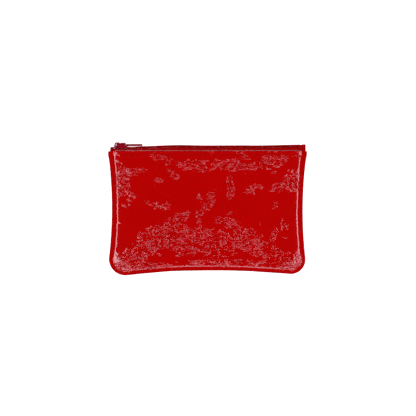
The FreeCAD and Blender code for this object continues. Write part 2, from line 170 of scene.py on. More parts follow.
def side_x(y, low_half):
    """Half width of the pouch at height y: a shallow waist, and a small flare at the mouth."""
    low_y = BOTTOM_LEFT_Y + CORNER_LEFT
    top_y = PANEL_HIGH[1]
    chord = math.hypot(top_y - low_y, TOP_HALF - low_half)
    deep = SIDE_CURVE - math.sqrt(SIDE_CURVE ** 2 - (chord / 2) ** 2)
    part = (y - low_y) / (top_y - low_y)
    straight = low_half + (TOP_HALF - low_half) * part
    waist = deep * (1 - (2 * part - 1) ** 2)
    flare = 0.35 * np.exp(-((y - 55.0) / 3.0) ** 2)
    return straight - waist + flare


def bottom_y(x):
    """Height of the bottom edge at x: it arches up between the corners."""
    left = -(LOW_LEFT - CORNER_LEFT)
    right = LOW_RIGHT - CORNER_RIGHT
    part = (x - left) / (right - left)
    straight = BOTTOM_LEFT_Y + (BOTTOM_RIGHT_Y - BOTTOM_LEFT_Y) * part
    rise = BOTTOM_ARCH * (1 - (2 * part - 1) ** 2)
    wave = 0.4 * np.exp(-((x + 36) / 17) ** 2) - 0.25 * np.exp(-((x - 62) / 14) ** 2)
    return straight + rise + wave


def outline(mouth):
    """Left side, bottom and right side as one dense line, with the two corner places in it."""
    side_count = 400
    turn_count = 81
    low_count = 500
    y_left = np.linspace(mouth, BOTTOM_LEFT_Y + CORNER_LEFT, side_count)
    left = np.column_stack([-side_x(y_left, LOW_LEFT), y_left])
    turn = np.linspace(math.pi, 1.5 * math.pi, turn_count)
    low_left = np.column_stack([
        -(LOW_LEFT - CORNER_LEFT) + CORNER_LEFT * np.cos(turn),
        BOTTOM_LEFT_Y + CORNER_LEFT + CORNER_LEFT * np.sin(turn)])
    x_low = np.linspace(-(LOW_LEFT - CORNER_LEFT), LOW_RIGHT - CORNER_RIGHT, low_count)
    low = np.column_stack([x_low, bottom_y(x_low)])
    turn = np.linspace(1.5 * math.pi, 2 * math.pi, turn_count)
    low_right = np.column_stack([
        LOW_RIGHT - CORNER_RIGHT + CORNER_RIGHT * np.cos(turn),
        BOTTOM_RIGHT_Y + CORNER_RIGHT + CORNER_RIGHT * np.sin(turn)])
    y_right = np.linspace(BOTTOM_RIGHT_Y + CORNER_RIGHT, mouth, side_count)
    right = np.column_stack([side_x(y_right, LOW_RIGHT), y_right])
    line = np.vstack([left, low_left[1:], low[1:], low_right[1:], right[1:]])
    half_turn = (turn_count - 1) // 2
    first = side_count - 1 + half_turn
    second = side_count - 1 + turn_count - 1 + low_count - 1 + half_turn
    return line, first, second


def spread(total, fine, coarse, count):
    """count values from 0 to 1 over a total length, closer together within 6 mm of both ends."""
    place = np.linspace(0, 1, 4001)
    density = np.ones_like(place)
    density += (coarse / fine - 1) * np.exp(-(place * total / 6) ** 2)
    density += (coarse / fine - 1) * np.exp(-((1 - place) * total / 6) ** 2)
    sums = np.concatenate([[0], np.cumsum((density[1:] + density[:-1]) / 2)])
    return np.interp(np.linspace(0, sums[-1], count), sums, place)


def running_length(line):
    """Distance along a line, at each of its points."""
    steps = np.hypot(*np.diff(line, axis=0).T)
    return np.concatenate([[0], np.cumsum(steps)])


def along_line(line, parts):
    """Points of a line at those parts of its length."""
    length = running_length(line)
    want = parts * length[-1]
    return np.column_stack([np.interp(want, length, line[:, axis]) for axis in (0, 1)])


def mouth_line(x):
    """Height of the leather's cut edge: nearly straight, dropping at the two corners."""
    drop = 0.9 * smooth(97.0, 101.5, np.abs(x))
    return MOUTH_Y - drop + 0.18 * noise(x / 31, x * 0, 5)


def patch(columns, rows):
    """A grid of (x, y) that fills the leather's outline, edges followed exactly."""
    line, first, second = outline(MOUTH_Y)
    s = spread(200, 0.3, 0.62, columns)
    t = spread(125, 0.3, 0.6, rows)
    left = along_line(line[:first + 1][::-1], t)
    low = along_line(line[first:second + 1], s)
    right = along_line(line[second:], t)
    top_x = left[-1, 0] + (right[-1, 0] - left[-1, 0]) * s
    top = np.column_stack([top_x, np.full(columns, MOUTH_Y)])
    s2 = s[None, :, None]
    t2 = t[:, None, None]
    grid = (1 - t2) * low[None] + t2 * top[None] + (1 - s2) * left[:, None] + s2 * right[:, None]
    corners = ((1 - s2) * (1 - t2) * low[0] + s2 * (1 - t2) * low[-1]
               + (1 - s2) * t2 * top[0] + s2 * t2 * top[-1])
    grid = grid - corners
    x = grid[..., 0]
    y = grid[..., 1]
    near_top = smooth(40.0, MOUTH_Y, y)
    y = y + (mouth_line(x) - MOUTH_Y) * near_top
    return x, y


def edge_distance(x, y):
    """Distance from the side and bottom edges, and how far round the outline its nearest point is."""
    line = outline(MOUTH_Y + 25)[0]
    length = running_length(line)
    flat = np.column_stack([x.ravel(), y.ravel()])
    far = np.empty(len(flat))
    place = np.empty(len(flat))
    batch = 4000
    for start in range(0, len(flat), batch):
        part = flat[start:start + batch]
        gap = (part[:, 0:1] - line[None, :, 0]) ** 2 + (part[:, 1:2] - line[None, :, 1]) ** 2
        best = gap.argmin(axis=1)
        far[start:start + batch] = np.sqrt(gap[np.arange(len(part)), best])
        place[start:start + batch] = length[best]
    return far.reshape(x.shape), place.reshape(x.shape)


# Height of the leather above the seam plane

def rise_table(distances, degrees):
    """Height gained from the edge inward, from how steep the leather is at each distance."""
    place = np.linspace(0, 110, 4401)
    slope = np.tan(np.radians(np.interp(place, distances, degrees)))
    step = place[1] - place[0]
    height = np.concatenate([[0], np.cumsum((slope[1:] + slope[:-1]) / 2 * step)])
    return place, height


# Millimetres from the edge, and how steep the leather is there, in degrees
SIDE_RISE = rise_table([0, 0.4, 0.9, 1.6, 3.0, 4.8, 5.9, 6.7, 9.0, 16, 30, 60],
                       [80, 58, 40, 28, 25, 23.5, 14, 7.5, 6, 4.5, 2.2, 0])
LOW_RISE = rise_table([0, 0.4, 0.9, 1.4, 2.2, 3.4, 4.6, 5.4, 8.0, 16, 30, 60],
                      [82, 62, 44, 32, 26, 23.5, 14, 8.5, 7, 5.5, 2.6, 0])
CORNER_RISE = rise_table([0, 0.4, 0.9, 1.6, 2.8, 4.5, 6.5, 11, 14, 18, 25, 40, 60],
                         [80, 58, 38, 26, 21, 15, 11.5, 9.5, 8, 6, 4, 1.5, 0])
MOUTH_RISE = rise_table([0, 0.4, 0.9, 1.6, 3.0, 4.8, 6.0, 6.8, 9.0, 16, 30, 60],
                        [80, 62, 48, 38, 35, 33, 18, 8.5, 7, 5, 1, 0])


def leather_height(x, y, far, place):
    """Smooth height of the outer face above the seam plane, before any crease."""
    wander = 0.45 * noise(place / 11, place * 0 + 3.3, 21)
    wander = wander + 0.25 * noise(place / 4.5, place * 0 + 1.7, 22)
    moved = np.clip(far + wander * smooth(1.5, 4.5, far) * (1 - smooth(10, 20, far)), 0, None)
    side = np.interp(moved, *SIDE_RISE)
    low = np.interp(moved, *LOW_RISE)
    corner = np.interp(moved, *CORNER_RISE)
    low_part = smooth(-44.0, -56.0, y)
    height = side * (1 - low_part) + low * low_part
    left = np.exp(-(((x + 92) / 15) ** 2 + ((y + 60) / 15) ** 2))
    right = np.exp(-(((x - 91) / 13) ** 2 + ((y + 59) / 13) ** 2))
    corner_part = np.clip(left * 1.3 + right * 1.15, 0, 1)
    height = height * (1 - corner_part) + corner * corner_part
    mouth = np.interp(moved, *MOUTH_RISE)
    mouth_part = smooth(15.0, 56.0, y)
    height = height * (1 - mouth_part) + mouth * mouth_part
    return np.minimum(height, FULL)


# Heights of the front's coarse and fine crinkles, of its single creases, and of the back's crinkles
COARSE_HIGH = 0.11
FINE_HIGH = 0.10
CREASE_HIGH = 0.36
BACK_HIGH = 0.16

# Crinkled patches: centre x, y, half sizes, tilt of the patch, depth, way of the grain
PATCHES = [
    (-86, 27, 9, 16, 0, 0.8, 8),
    (-78, 37, 18, 4, 8, 0.7, 5),
    (-80, 12, 10, 7, -20, 0.55, 0),
    (-50, 53, 12, 5, 0, 0.45, 85),
    (-49, 30, 7, 6, 0, 0.4, 60),
    (-12, 44, 20, 6.5, -4, 0.8, 30),
    (32, 45, 40, 6, 0, 0.95, 50),
    (68, 50, 13, 8, 10, 0.9, 55),
    (87, 29, 10, 11, 0, 0.75, 20),
    (80, 24, 18, 4.5, 14, 0.9, -12),
    (-44, 2, 9, 6, 10, 0.5, 20),
    (-30, -11, 18, 6, 25, 0.6, 25),
    (44, 20, 9, 6, 25, 0.5, 25),
    (2, 8, 7, 16, -28, 0.5, 60),
    (-66, -42, 28, 10, 34, 0.95, 36),
    (-40, -26, 24, 12, 4, 0.9, 4),
    (-14, -32, 28, 14, 0, 0.85, 8),
    (10, -34, 26, 14, 0, 0.85, -10),
    (46, -34, 28, 11, -28, 0.9, -20),
    (24, -16, 20, 6, -20, 0.7, -15),
    (64, -46, 14, 9, -20, 0.8, -30),
    (87, -56, 14, 11, 0, 1.0, 45),
    (-86, -58, 14, 9, 0, 0.8, -20),
    (78, -20, 6, 15, 0, 0.4, 80),
    (-60, -58, 26, 4, 0, 0.6, 12),
    (20, -54, 60, 3.5, 0, 0.45, 5),
]

# Long single creases: from, to, depth, wander
CREASES = [
    ((19, 33), (-5, -14), 0.55, 2.0),
    ((52, 40), (46, 14), 0.7, 1.5),
    ((40, 18), (26, 10), 0.6, 1.0),
    ((-10, -6), (-36, -20), 0.7, 2.0),
    ((-36, -2), (-42, -22), 0.5, 1.5),
    ((-67, -26), (-76, -38), 0.35, 2.0),
    ((-38, -44), (-39, -62), 0.3, 0.8),
    ((18, -44), (20, -60), 0.4, 0.8),
    ((48, -46), (49, -61), 0.4, 0.8),
    ((66, -28), (66, -40), 0.3, 1.0),
    ((-93, -13), (-84, -15), 0.6, 0.6),
    ((-97, 52), (-86, 46), 0.8, 1.2),
    ((-99, 57), (-88, 55), 0.8, 1.0),
    ((97, 56), (86, 54), 0.6, 1.0),
]


def patch_fade(x, y, centre_x, centre_y, half_x, half_y, tilt, power):
    """1 in the middle of a tilted oval, falling to 0 round it."""
    ca = math.cos(math.radians(tilt))
    sa = math.sin(math.radians(tilt))
    u = ((x - centre_x) * ca + (y - centre_y) * sa) / half_x
    v = (-(x - centre_x) * sa + (y - centre_y) * ca) / half_y
    return np.exp(-(u * u + v * v) ** power)


def patch_mask(x, y):
    """Where the fine crackle lies: in the patches, and in a few stray places."""
    total = np.zeros_like(x)
    for *oval, depth, _ in PATCHES:
        total = np.maximum(total, depth * patch_fade(x, y, *oval, 1.1))
    total = np.clip(total * 1.35, 0, 1.2)
    stray = 0.6 * smooth(0.12, 0.42, noise(x / 15, y / 13, 87))
    return np.maximum(total, stray)


def creases(x, y, front):
    """Height of the crinkles, in millimetres."""
    height = np.zeros_like(x)
    if not front:
        mask = 0.55 * smooth(-0.1, 0.45, noise(x / 38, y / 30, 71))
        grain = strokes(x, y, 20, 2.8, 7, 73) + 0.6 * strokes(x, y, -50, 3.2, 6, 79)
        return BACK_HIGH * mask * grain
    ragged = 0.75 + 0.9 * noise(x / 6.5, y / 5.0, 31)
    for number, (*oval, depth, grain) in enumerate(PATCHES):
        mask = patch_fade(x, y, *oval, 1.3)
        inside = mask > 0.02
        if not inside.any():
            continue
        px = x[inside]
        py = y[inside]
        seed = 100 + 11 * number
        lines = strokes(px, py, grain, 2.3, 6.0, seed, 0.28)
        lines = np.maximum(lines, 0.8 * strokes(px, py, grain + 38, 3.0, 5.5, seed + 5))
        fine = strokes(px, py, grain - 30, 1.7, 3.6, seed + 7)
        strength = depth * mask[inside] * np.clip(ragged[inside], 0, 1.5)
        height[inside] += strength * (COARSE_HIGH * lines + FINE_HIGH * fine)
    for number, ((ax, ay), (bx, by), depth, wander) in enumerate(CREASES):
        length = math.hypot(bx - ax, by - ay)
        tx = (bx - ax) / length
        ty = (by - ay) / length
        along = (x - ax) * tx + (y - ay) * ty
        across = -(x - ax) * ty + (y - ay) * tx
        across = across + 2 * wander * noise(along / 8, along * 0, 400 + number)
        fade = smooth(-3, 3, along) * (1 - smooth(length - 3, length + 3, along))
        broken = np.clip(0.8 + 1.2 * noise(along / 3.5, along * 0 + 0.5, 440 + number), 0, 1.4)
        height += CREASE_HIGH * depth * fade * broken * np.exp(-(across / 0.7) ** 2)
    return height


def ripples(x, y, far, place):
    """Small folds across the turned edges, and the dimples of the stitch row."""
    window = smooth(1.2, 3.5, far) * (1 - smooth(6.5, 10.5, far))
    folds = 0.13 * noise(place / 1.6, far / 5.0, 51) + 0.06 * noise(place / 0.9, far / 4.0, 52)
    row = np.exp(-((y - STITCH_ROW) / 0.75) ** 2) * (1 - smooth(88, 94, np.abs(x)))
    dimples = 0.10 + 0.10 * np.cos(TAU * x / STITCH_PITCH + math.pi)
    lip = 0.10 * np.exp(-((y - STITCH_ROW - 2.3) / 1.1) ** 2)
    return folds * window - row * dimples + lip


def swell(x, y):
    """The broad, shallow waves of a sheet of leather."""
    return 0.35 * noise(x / 46, y / 40, 61) + 0.12 * noise(x / 19, y / 17, 62)


def outer_height(x, y, far, place, front):
    """Height of the outer face above the seam plane, with everything that lies on it."""
    height = leather_height(x, y, far, place)
    free = smooth(1.0, 5.0, far)
    mouth_free = 1 - 0.6 * smooth(MOUTH_Y - 2.0, MOUTH_Y, y)
    height = height + swell(x, y) * smooth(4.0, 22.0, far) * mouth_free * (1.0 if front else 0.3)
    height = height + creases(x, y, front) * free * mouth_free
    return height + ripples(x, y, far, place) * (1.0 if front else 0.6)


# Meshes

def mesh_object(name, points, faces, material):
    """A mesh from points in millimetres."""
    mesh = bpy.data.meshes.new(name)
    mesh.from_pydata((np.asarray(points, dtype=float) * MM).tolist(), [], faces)
    mesh.validate()
    piece = bpy.data.objects.new(name, mesh)
    bpy.context.scene.collection.objects.link(piece)
    mesh.materials.append(material)
    mesh.polygons.foreach_set("use_smooth", [True] * len(mesh.polygons))
    return piece


def vertex_values(mesh, kind):
    """Three numbers for each vertex: its place, co, or its normal."""
    values = np.empty(len(mesh.vertices) * 3)
    mesh.vertices.foreach_get(kind, values)
    return values.reshape(-1, 3)


def follow_opening(piece):
    """Bake the piece's placement into its mesh, and read its points in millimetres."""
    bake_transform(piece)
    points = vertex_values(piece.data, "co") / MM


def panel_points(x, y, far, place, front):
    """Vertices of the crinkled outer face and of the coarser, plain inner face."""
    height = np.maximum(outer_height(x, y, far, place, front), SEAM_HALF)
    height[0, :] = SEAM_HALF
    height[:, 0] = SEAM_HALF
    height[:, -1] = SEAM_HALF
    sign = 1 if front else -1
    outer = np.stack([x, y, MID + sign * height], axis=-1)
    outer[-1, :, 1] -= 0.55

    xi = x[::INNER_STEP, ::INNER_STEP]
    yi = y[::INNER_STEP, ::INNER_STEP]
    fi = far[::INNER_STEP, ::INNER_STEP]
    smooth_height = leather_height(xi, yi, fi, place[::INNER_STEP, ::INNER_STEP])
    turned = 1 - smooth(6.5, 8.0, fi)
    seam = SEAM_HALF * 0.5
    inner_height = np.maximum(smooth_height - LEATHER, seam) * (1 - turned) + seam * turned
    inner_y = yi.copy()
    inner_y[-1, :] += 0.35
    inner = np.stack([xi, inner_y, MID + sign * inner_height], axis=-1)
    return outer.reshape(-1, 3), inner.reshape(-1, 3)


def panel_faces(columns, rows):
    """Faces of a panel and the material of each: 0 outer and sewn edges, 1 inner, 2 cut mouth edge."""
    offset = rows * columns
    inner_columns = (columns - 1) // INNER_STEP + 1
    inner_rows = (rows - 1) // INNER_STEP + 1
    faces = []
    kinds = []
    for r in range(rows - 1):
        for c in range(columns - 1):
            a = r * columns + c
            faces.append((a, a + 1, a + 1 + columns, a + columns))
            kinds.append(0)
    for r in range(inner_rows - 1):
        for c in range(inner_columns - 1):
            a = offset + r * inner_columns + c
            faces.append((a, a + inner_columns, a + inner_columns + 1, a + 1))
            kinds.append(1)

    def close(fine, coarse, kind):
        """A strip between an outer edge and the inner edge under it."""
        for number in range(len(coarse) - 1):
            part = fine[number * INNER_STEP:(number + 1) * INNER_STEP + 1]
            faces.append(tuple(part[::-1]) + (coarse[number], coarse[number + 1]))
            kinds.append(kind)

    inner_end = offset + inner_rows * inner_columns
    low = list(range(columns))
    inner_low = list(range(offset, offset + inner_columns))
    right = list(range(columns - 1, offset, columns))
    inner_right = list(range(offset + inner_columns - 1, inner_end, inner_columns))
    top = list(range(offset - columns, offset))
    inner_top = list(range(inner_end - inner_columns, inner_end))
    left = list(range(0, offset, columns))
    inner_left = list(range(offset, inner_end, inner_columns))
    close(low, inner_low, 0)
    close(right, inner_right, 0)
    close(top[::-1], inner_top[::-1], 2)
    close(left[::-1], inner_left[::-1], 0)
    return faces, kinds


def build_panel(name, front, skin, flesh, raw):
    """One leather panel as a closed shell: crinkled outer face, plain inner face, raw mouth edge."""
    columns, rows = FRONT_GRID if front else BACK_GRID
    x, y = patch(columns, rows)
    far, place = edge_distance(x, y)
    far[0, :] = 0
    far[:, 0] = 0
    far[:, -1] = 0
    outer, inner = panel_points(x, y, far, place, front)
    faces, kinds = panel_faces(columns, rows)
    if not front:
        faces = [face[::-1] for face in faces]
    piece = mesh_object(name, np.vstack([outer, inner]), faces, skin)
    piece.data.materials.append(flesh)
    piece.data.materials.append(raw)
    piece.data.polygons.foreach_set("material_index", kinds)

    mask = np.zeros(len(outer) + len(inner), dtype=np.float32)
    if front:
        edge_band = 0.28 * smooth(3.5, 5.0, far) * (1 - smooth(7.0, 9.5, far))
        mask[:len(outer)] = np.maximum(patch_mask(x, y) * smooth(1.5, 4.0, far), edge_band).ravel()
    else:
        mask[:len(outer)] = 0.4
    attribute = piece.data.attributes.new("crinkle", "FLOAT", "POINT")
    attribute.data.foreach_set("value", mask)
    return piece


# Zip

def zip_wave(u):
    """How far the chain strays from its straight line, in the plane of the pouch."""
    rise = 0.9 * np.exp(-((u + 32) / 23) ** 2) - 0.45 * np.exp(-((u - 58) / 24) ** 2)
    rise = rise - 0.6 * np.exp(-((u + 77) / 6) ** 2)
    return rise + 0.05 * noise(u / 6, u * 0, 91)


def zip_points(u, v, w):
    """Points from along the zip, up out of the pouch and towards the front, in millimetres."""
    u, v, w = np.broadcast_arrays(np.asarray(u, float), np.asarray(v, float), np.asarray(w, float))
    x = u * math.cos(TILT) - v * math.sin(TILT)
    y = ZIP_Y + u * math.sin(TILT) + v * math.cos(TILT)
    return np.stack([x, y, MID + w], axis=-1)


def tube(path, across, high, sides):
    """An oval tube along a path: half width in its plane, half height out of it."""
    count = len(path)
    ahead = np.roll(path, -1, axis=0) - np.roll(path, 1, axis=0)
    ahead[0] = path[1] - path[0]
    ahead[-1] = path[-1] - path[-2]
    ahead /= np.linalg.norm(ahead, axis=1)[:, None]
    side = np.empty_like(path)
    normal = np.cross(ahead[0], (0.13, 0.21, 0.97))
    for number in range(count):
        normal = normal - ahead[number] * normal.dot(ahead[number])
        normal = normal / np.linalg.norm(normal)
        side[number] = normal
    other = np.cross(ahead, side)
    turn = np.arange(sides) / sides * TAU
    across = np.broadcast_to(np.asarray(across, float), (count,))
    high = np.broadcast_to(np.asarray(high, float), (count,))
    ring = (side[:, None] * (np.cos(turn)[None, :, None] * across[:, None, None])
            + other[:, None] * (np.sin(turn)[None, :, None] * high[:, None, None]))
    points = (path[:, None] + ring).reshape(-1, 3)
    faces = []
    for number in range(count - 1):
        a = number * sides
        b = a + sides
        for k in range(sides):
            k2 = (k + 1) % sides
            faces.append((a + k, a + k2, b + k2, b + k))
    faces.append(tuple(range(sides))[::-1])
    faces.append(tuple((count - 1) * sides + k for k in range(sides)))
    return points, faces


def join_parts(parts):
    """Points and faces of several meshes as one."""
    points = []
    faces = []
    base = 0
    for part_points, part_faces in parts:
        points.append(part_points)
        faces.extend(tuple(index + base for index in face) for face in part_faces)
        base += len(part_points)
    return np.vstack(points), faces


def mouth_height(x):
    """Height of the leather's outer face at the mouth."""
    just_below = 57.0
    side = np.where(x < 0, side_x(just_below, LOW_LEFT), side_x(just_below, LOW_RIGHT))
    return np.minimum(np.interp(np.clip(side - np.abs(x), 0, None), *MOUTH_RISE), FULL)


def tape_sections(stations):
    """The tape's middle line at each station, as distance from the seam plane and height up the zip."""
    widest = np.clip(mouth_height(stations) - LEATHER - 0.35, 0.95, 5.05)
    leg = 4.4 + 6.0 * smooth(99.0, 86.0, np.abs(stations))
    radius = np.minimum(1.5, widest - 0.35)
    level = 1.4 + 2.5 * smooth(93.0, 97.5, stations)
    wave = zip_wave(stations)
    ripple = 0.12 * noise(stations / 5.0, np.full_like(stations, 0.4), 93)
    inner_edge = 0.42
    sections = []
    for t in np.linspace(0, 1, 10, endpoint=False):
        sections.append((widest, -leg + (leg + level - radius) * t + wave * t))
    for t in np.linspace(0, math.pi / 2, 9):
        sections.append((widest - radius + radius * math.cos(t) + ripple * math.sin(t),
                         level - radius + radius * math.sin(t) + wave))
    for t in np.linspace(0, 1, 6)[1:]:
        sections.append((widest - radius + (inner_edge - widest + radius) * t, level + wave))
    return np.array(sections).transpose(2, 0, 1)


def build_tape(name, sign, material):
    """Woven tape: sewn inside the mouth, bent over it, and level under the coil."""
    stations = np.linspace(*TAPE_ENDS, 260)
    rows = tape_sections(stations)
    ahead = np.gradient(rows, axis=1)
    ahead /= np.linalg.norm(ahead, axis=2)[..., None] + 1e-9
    normal = np.stack([ahead[..., 1], -ahead[..., 0]], axis=-1)
    outer = rows + normal * TAPE_HALF
    inner = rows - normal * TAPE_HALF
    loop = np.concatenate([outer, inner[:, ::-1]], axis=1)
    count = loop.shape[1]
    points = zip_points(stations[:, None], loop[..., 1], sign * loop[..., 0]).reshape(-1, 3)
    faces = []
    for number in range(len(stations) - 1):
        a = number * count
        b = a + count
        for k in range(count):
            k2 = (k + 1) % count
            faces.append((a + k, b + k, b + k2, a + k2))
    width = rows.shape[1]
    for k in range(width - 1):
        faces.append((k, k + 1, count - 2 - k, count - 1 - k))
        last = (len(stations) - 1) * count
        faces.append((last + k + 1, last + k, last + count - 1 - k, last + count - 2 - k))
    if sign < 0:
        faces = [face[::-1] for face in faces]
    return mesh_object(name, points, faces, material)


def build_coil(name, sign, material):
    """A nylon coil: one bent monofilament whose heads meet those of the other side."""
    turns = int(COIL_LONG / COIL_PITCH)
    per_turn = 16
    t = np.arange(turns * per_turn + 1) / per_turn
    shift = 0.0 if sign > 0 else COIL_PITCH / 2
    u = COIL_START + shift + t * COIL_PITCH
    angle = t * TAU
    w = COIL_MID_W + COIL_HALF_W * np.cos(angle)
    v = COIL_MID_V + COIL_HALF_V * np.sin(angle)
    lean = 0.30 * COIL_PITCH * np.sin(angle)
    wire = COIL_WIRE + 0.04 * np.clip(-np.cos(angle), 0, 1) ** 4
    path = zip_points(u + lean, v + zip_wave(u), sign * w)
    points, faces = tube(path, wire, wire, 7)
    return mesh_object(name, points, faces, material)


def build_cord(name, sign, material):
    """The twisted filler cord that runs through a coil."""
    u = np.linspace(COIL_START + 0.2, COIL_START + COIL_LONG, 420)
    path = zip_points(u, COIL_MID_V + zip_wave(u), sign * CORD_W)
    lay = 0.55
    twist = 0.05 * np.sin(u / lay * TAU)
    points, faces = tube(path, CORD_RADIUS + twist, CORD_RADIUS - twist, 8)
    return mesh_object(name, points, faces, material)


def build_coil_thread(name, sign, material):
    """Two rows of chain stitches that hold the coil to its tape."""
    parts = []
    pitch = COIL_PITCH * 2
    for row_w in (1.35, 2.3):
        u0 = -94.0
        while u0 < 93.0:
            t = np.linspace(0, 1, 9)
            u = u0 + pitch * 1.15 * t
            v = COIL_MID_V + COIL_HALF_V + 0.18 + 0.12 * np.sin(math.pi * t) + zip_wave(u)
            for side in (-1, 1):
                w = row_w + side * 0.17 * np.sin(math.pi * t)
                parts.append(tube(zip_points(u, v, sign * w), 0.11, 0.09, 5))
            u0 += pitch
    points, faces = join_parts(parts)
    return mesh_object(name, points, faces, material)


# Stitches of the mouth

def build_stitches(name, front, material):
    """Lockstitches along the mouth: each lies on the leather and dives into it at both ends."""
    parts = []
    sign = 1 if front else -1
    count = int(STITCH_ROW_LENGTH / STITCH_PITCH)
    first = -(count - 1) / 2 * STITCH_PITCH
    for number in range(count):
        middle = first + number * STITCH_PITCH
        t = np.linspace(-1, 1, 11)
        x = middle + 1.45 * t
        y = STITCH_ROW + 0.10 * t + 0.06 * noise(x / 9, x * 0, 97)
        far, place = edge_distance(x, y)
        ground = outer_height(x, y, far, place, front)
        bow = 0.16 * (1 - t ** 4) - 0.30 * t ** 8
        z = MID + sign * np.minimum(ground + bow, FULL + (0.35 if front else -0.25))
        size = 0.33 - 0.10 * t ** 4
        parts.append(tube(np.stack([x, y, z], axis=-1), size, size * 0.75, 8))
    points, faces = join_parts(parts)
    return mesh_object(name, points, faces, material)


# Materials

def new_material(name, sockets):
    """A material with one shader, whose sockets are set to those numbers."""
    material = bpy.data.materials.new(name)
    material.use_nodes = True
    tree = material.node_tree
    tree.nodes.clear()
    out = tree.nodes.new("ShaderNodeOutputMaterial")
    shader = tree.nodes.new("ShaderNodeBsdfPrincipled")
    tree.links.new(shader.outputs[0], out.inputs[0])
    for socket, value in sockets.items():
        shader.inputs[socket].default_value = value
    return material, tree, shader


def add_node(tree, kind, **values):
    """A node with sockets or settings set by name."""
    node = tree.nodes.new(kind)
    for key, value in values.items():
        if key in node.inputs:
            node.inputs[key].default_value = value
        else:
            setattr(node, key, value)
    return node


def texture(tree, kind, place=None, **values):
    """The strength of a procedural texture, laid out in the object's own frame unless a place is given."""
    node = add_node(tree, kind, **values)
    if place is None:
        place = tree.nodes.new("ShaderNodeTexCoord").outputs["Object"]
    tree.links.new(place, node.inputs["Vector"])
    return node.outputs["Fac"]


def two_tone(tree, shader, factor, first, second):
    """Colour that goes from first to second as factor rises."""
    mix = tree.nodes.new("ShaderNodeMix")
    mix.data_type = "RGBA"
    mix.inputs["A"].default_value = (*first, 1)
    mix.inputs["B"].default_value = (*second, 1)
    tree.links.new(factor, mix.inputs["Factor"])
    tree.links.new(mix.outputs["Result"], shader.inputs["Base Color"])


def add_bump(tree, shader, height, strength, distance, coated=False):
    """Relief from a height, in metres, on the shader and on its coat if it has one."""
    bump = add_node(tree, "ShaderNodeBump", Strength=strength, Distance=distance)
    tree.links.new(height, bump.inputs["Height"])
    tree.links.new(bump.outputs[0], shader.inputs["Normal"])
    if coated:
        tree.links.new(bump.outputs[0], shader.inputs["Coat Normal"])


def math_node(tree, operation, first, second=None, clamp=False):
    """The result of one operation on numbers or other nodes' results."""
    node = tree.nodes.new("ShaderNodeMath")
    node.operation = operation
    node.use_clamp = clamp
    for socket, value in zip(node.inputs, (first, second)):
        if isinstance(value, (int, float)):
            socket.default_value = value
        elif value is not None:
            tree.links.new(value, socket)
    return node.outputs[0]


def steepen(tree, value, low, gain):
    """0 up to low, then rising by gain to 1."""
    return math_node(tree, "MULTIPLY", math_node(tree, "SUBTRACT", value, low), gain, clamp=True)


def crackle(tree, place, scale, width):
    """Thin ridges along the wandering middle lines of a noise. From 0 to 1."""
    cells = texture(tree, "ShaderNodeTexNoise", place,
                    Scale=scale, Detail=0.5, Roughness=0.4, Distortion=0.7)
    side = math_node(tree, "ABSOLUTE", math_node(tree, "SUBTRACT", cells, 0.5))
    ridge = tree.nodes.new("ShaderNodeMapRange")
    ridge.interpolation_type = "SMOOTHSTEP"
    ridge.inputs["From Min"].default_value = width
    ridge.inputs["From Max"].default_value = 0.0
    tree.links.new(side, ridge.inputs["Value"])
    return ridge.outputs["Result"]


def patent_leather():
    """Red leather under a clear glossy film, which cracks finely where the leather was bent."""
    material, tree, shader = new_material("patent_leather", {
        "Roughness": 0.5,
        "Specular IOR Level": 0.0,
        "Coat Weight": 1.0,
        "Coat Roughness": 0.07,
        "Coat IOR": 1.5,
    })
    cloud = texture(tree, "ShaderNodeTexNoise", Scale=28.0, Detail=3.0)
    two_tone(tree, shader, cloud, (0.38, 0.0, 0.0), (0.43, 0.0, 0.0))

    crinkled = tree.nodes.new("ShaderNodeAttribute")
    crinkled.attribute_name = "crinkle"
    broken = steepen(tree, texture(tree, "ShaderNodeTexNoise", Scale=150.0, Detail=1.0), 0.27, 4.0)
    depth = steepen(tree, math_node(tree, "MULTIPLY", broken, crinkled.outputs["Fac"]), 0.26, 3.0)
    stretched = add_node(tree, "ShaderNodeMapping", Scale=(0.42, 1.0, 1.0))
    tree.links.new(tree.nodes.new("ShaderNodeTexCoord").outputs["Object"], stretched.inputs["Vector"])
    wide = crackle(tree, stretched.outputs[0], 340.0, 0.07)
    narrow = math_node(tree, "MULTIPLY", crackle(tree, stretched.outputs[0], 290.0, 0.055), 0.9)
    lines = math_node(tree, "MULTIPLY", math_node(tree, "MAXIMUM", wide, narrow), depth)
    add_bump(tree, shader, lines, 1.0, 0.00022, coated=True)
    return material


def suede(name, first, second):
    """The leather's flesh side or its raw cut edge."""
    material, tree, shader = new_material(name, {
        "Roughness": 0.9,
        "Specular IOR Level": 0.2,
        "Sheen Weight": 0.3,
    })
    nap = texture(tree, "ShaderNodeTexNoise", Scale=900.0, Detail=4.0)
    two_tone(tree, shader, nap, first, second)
    add_bump(tree, shader, nap, 0.5, 0.0002)
    return material


def woven_tape():
    """Herringbone zip tape."""
    material, tree, shader = new_material("woven_tape", {
        "Roughness": 0.85,
        "Specular IOR Level": 0.03,
    })
    warp = texture(tree, "ShaderNodeTexWave", Scale=520.0, Distortion=0.4, bands_direction="X")
    weft = texture(tree, "ShaderNodeTexWave", Scale=420.0, Distortion=0.4, bands_direction="DIAGONAL")
    weave = math_node(tree, "MULTIPLY", warp, weft)
    two_tone(tree, shader, weave, (0.24, 0.0, 0.0), (0.40, 0.0, 0.0))
    add_bump(tree, shader, weave, 0.6, 0.00012)
    return material


def nylon(name, first, second, roughness, gloss):
    """Drawn or spun synthetic, with slight changes of tone."""
    material, tree, shader = new_material(name, {
        "Roughness": roughness,
        "Specular IOR Level": gloss,
    })
    two_tone(tree, shader, texture(tree, "ShaderNodeTexNoise", Scale=160.0, Detail=2.0), first, second)
    return material


